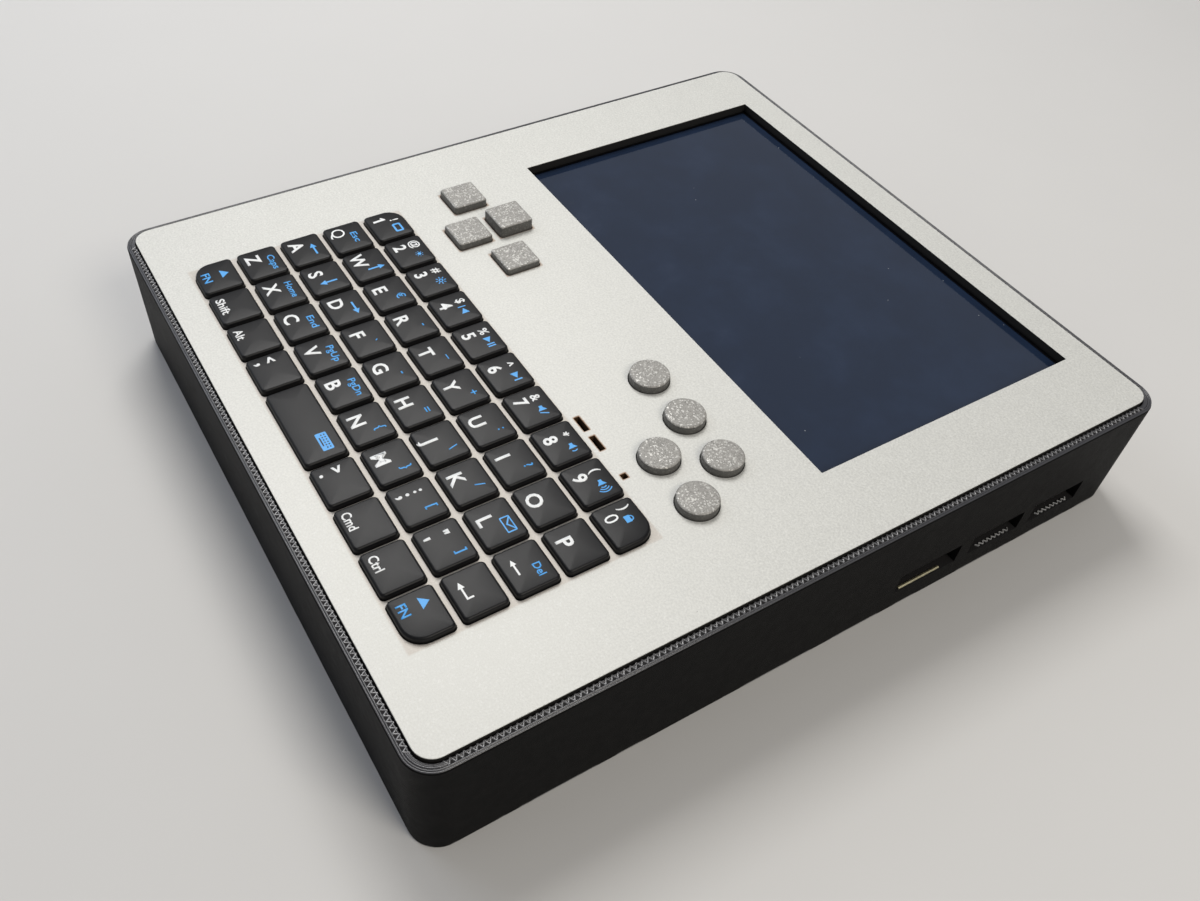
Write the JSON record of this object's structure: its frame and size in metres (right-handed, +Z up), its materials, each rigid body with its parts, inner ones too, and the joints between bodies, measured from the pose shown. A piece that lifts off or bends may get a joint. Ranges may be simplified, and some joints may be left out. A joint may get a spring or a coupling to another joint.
{
  "type": "handheld computer",
  "caption": "Flat handheld computer: a black case under a silver front plate with a small keyboard, square and round buttons, a screen and side sockets.",
  "frame": {"origin": "centre of the underside", "axes": "+X to the user's right, where the sockets are; +Y from the keyboard to the screen; +Z up out of the front plate"},
  "size_m": [0.144, 0.164, 0.0302],
  "materials": {
    "printed_black": "matte, printed in layers",
    "plate_silver": "silver face with a fine satin grain on a black core",
    "black_foam": "soft, matte",
    "screen_glass": "polished",
    "lcd_black": "dark blue-black, polished",
    "circuit_board": "satin green",
    "steel": "satin",
    "socket_metal": "bright nickel",
    "brass": "satin",
    "aluminium": "satin",
    "black_plastic": "satin",
    "battery_wrap": "satin foil",
    "dome_film": "satin film",
    "lamp": "clear",
    "ribbon_film": "satin film",
    "wire": "satin",
    "key_rubber": "soft satin, with plain letters, digits and signs",
    "cap_speckle": "grey with fine glitter"
  },
  "bodies": {
    "case": {"case_frame": "printed_black", "bottom_cover": "printed_black", "front_plate": "plate_silver", "plate_tape": "black_foam", "display_gasket": "black_foam", "display_pads": "black_foam", "battery_tape": "black_foam", "display_glass": "screen_glass", "lcd_panel": "lcd_black", "display_board": "circuit_board", "computer_board": "circuit_board", "power_board": "circuit_board", "keyboard_board": "circuit_board", "direction_board": "circuit_board", "action_board": "circuit_board", "cover_screws": "steel", "board_screws": "steel", "computer_screws": "steel", "keyboard_screws": "steel", "switch_board_screws": "steel", "video_socket": "socket_metal", "usb_socket_near": "socket_metal", "usb_socket_far": "socket_metal", "threaded_inserts": "brass", "board_standoffs": "brass", "heat_sink": "aluminium", "board_header": "black_plastic", "direction_switches": "black_plastic", "action_switches": "black_plastic", "battery_pack": "battery_wrap", "dome_sheet": "dome_film", "status_lights": "lamp", "keyboard_ribbon": "ribbon_film", "action_ribbon": "ribbon_film", "link_ribbon": "ribbon_film", "power_leads": "wire"},
    "key_fn_left": {"key_fn_left": "key_rubber"},
    "key_shift": {"key_shift": "key_rubber"},
    "key_alt": {"key_alt": "key_rubber"},
    "key_comma": {"key_comma": "key_rubber"},
    "key_space": {"key_space": "key_rubber"},
    "key_period": {"key_period": "key_rubber"},
    "key_command": {"key_command": "key_rubber"},
    "key_control": {"key_control": "key_rubber"},
    "key_fn_right": {"key_fn_right": "key_rubber"},
    "key_enter": {"key_enter": "key_rubber"},
    "key_backspace": {"key_backspace": "key_rubber"},
    "keys_digit_row": {"keys_digit_row": "key_rubber"},
    "keys_letter_row_high": {"keys_letter_row_high": "key_rubber"},
    "keys_letter_row_middle": {"keys_letter_row_middle": "key_rubber"},
    "keys_letter_row_low": {"keys_letter_row_low": "key_rubber"},
    "direction_left": {"direction_left": "cap_speckle"},
    "direction_right": {"direction_right": "cap_speckle"},
    "direction_up": {"direction_up": "cap_speckle"},
    "direction_down": {"direction_down": "cap_speckle"},
    "action_button_1": {"action_button_1": "cap_speckle"},
    "action_button_2": {"action_button_2": "cap_speckle"},
    "action_button_3": {"action_button_3": "cap_speckle"},
    "action_button_4": {"action_button_4": "cap_speckle"},
    "action_button_5": {"action_button_5": "cap_speckle"}
  },
  "joints": [
    {"name": "key_fn_left_press", "type": "slide", "parent": "case", "child": "key_fn_left", "axis": [0, 0, -1], "range_m": [0, 0.0007], "stiffness_N_per_m": 250},
    {"name": "key_shift_press", "type": "slide", "parent": "case", "child": "key_shift", "axis": [0, 0, -1], "range_m": [0, 0.0007], "stiffness_N_per_m": 250},
    {"name": "key_alt_press", "type": "slide", "parent": "case", "child": "key_alt", "axis": [0, 0, -1], "range_m": [0, 0.0007], "stiffness_N_per_m": 250},
    {"name": "key_comma_press", "type": "slide", "parent": "case", "child": "key_comma", "axis": [0, 0, -1], "range_m": [0, 0.0007], "stiffness_N_per_m": 250},
    {"name": "key_space_press", "type": "slide", "parent": "case", "child": "key_space", "axis": [0, 0, -1], "range_m": [0, 0.0007], "stiffness_N_per_m": 250},
    {"name": "key_period_press", "type": "slide", "parent": "case", "child": "key_period", "axis": [0, 0, -1], "range_m": [0, 0.0007], "stiffness_N_per_m": 250},
    {"name": "key_command_press", "type": "slide", "parent": "case", "child": "key_command", "axis": [0, 0, -1], "range_m": [0, 0.0007], "stiffness_N_per_m": 250},
    {"name": "key_control_press", "type": "slide", "parent": "case", "child": "key_control", "axis": [0, 0, -1], "range_m": [0, 0.0007], "stiffness_N_per_m": 250},
    {"name": "key_fn_right_press", "type": "slide", "parent": "case", "child": "key_fn_right", "axis": [0, 0, -1], "range_m": [0, 0.0007], "stiffness_N_per_m": 250},
    {"name": "key_enter_press", "type": "slide", "parent": "case", "child": "key_enter", "axis": [0, 0, -1], "range_m": [0, 0.0007], "stiffness_N_per_m": 250},
    {"name": "key_backspace_press", "type": "slide", "parent": "case", "child": "key_backspace", "axis": [0, 0, -1], "range_m": [0, 0.0007], "stiffness_N_per_m": 250},
    {"name": "keys_digit_row_press", "type": "slide", "parent": "case", "child": "keys_digit_row", "axis": [0, 0, -1], "range_m": [0, 0.0007], "stiffness_N_per_m": 2500},
    {"name": "keys_letter_row_high_press", "type": "slide", "parent": "case", "child": "keys_letter_row_high", "axis": [0, 0, -1], "range_m": [0, 0.0007], "stiffness_N_per_m": 2500},
    {"name": "keys_letter_row_middle_press", "type": "slide", "parent": "case", "child": "keys_letter_row_middle", "axis": [0, 0, -1], "range_m": [0, 0.0007], "stiffness_N_per_m": 2250},
    {"name": "keys_letter_row_low_press", "type": "slide", "parent": "case", "child": "keys_letter_row_low", "axis": [0, 0, -1], "range_m": [0, 0.0007], "stiffness_N_per_m": 2250},
    {"name": "direction_left_press", "type": "slide", "parent": "case", "child": "direction_left", "axis": [0, 0, -1], "range_m": [0, 0.0003], "stiffness_N_per_m": 600},
    {"name": "direction_right_press", "type": "slide", "parent": "case", "child": "direction_right", "axis": [0, 0, -1], "range_m": [0, 0.0003], "stiffness_N_per_m": 600},
    {"name": "direction_up_press", "type": "slide", "parent": "case", "child": "direction_up", "axis": [0, 0, -1], "range_m": [0, 0.0003], "stiffness_N_per_m": 600},
    {"name": "direction_down_press", "type": "slide", "parent": "case", "child": "direction_down", "axis": [0, 0, -1], "range_m": [0, 0.0003], "stiffness_N_per_m": 600},
    {"name": "action_button_1_press", "type": "slide", "parent": "case", "child": "action_button_1", "axis": [0, 0, -1], "range_m": [0, 0.0003], "stiffness_N_per_m": 600},
    {"name": "action_button_2_press", "type": "slide", "parent": "case", "child": "action_button_2", "axis": [0, 0, -1], "range_m": [0, 0.0003], "stiffness_N_per_m": 600},
    {"name": "action_button_3_press", "type": "slide", "parent": "case", "child": "action_button_3", "axis": [0, 0, -1], "range_m": [0, 0.0003], "stiffness_N_per_m": 600},
    {"name": "action_button_4_press", "type": "slide", "parent": "case", "child": "action_button_4", "axis": [0, 0, -1], "range_m": [0, 0.0003], "stiffness_N_per_m": 600},
    {"name": "action_button_5_press", "type": "slide", "parent": "case", "child": "action_button_5", "axis": [0, 0, -1], "range_m": [0, 0.0003], "stiffness_N_per_m": 600}
  ]
}
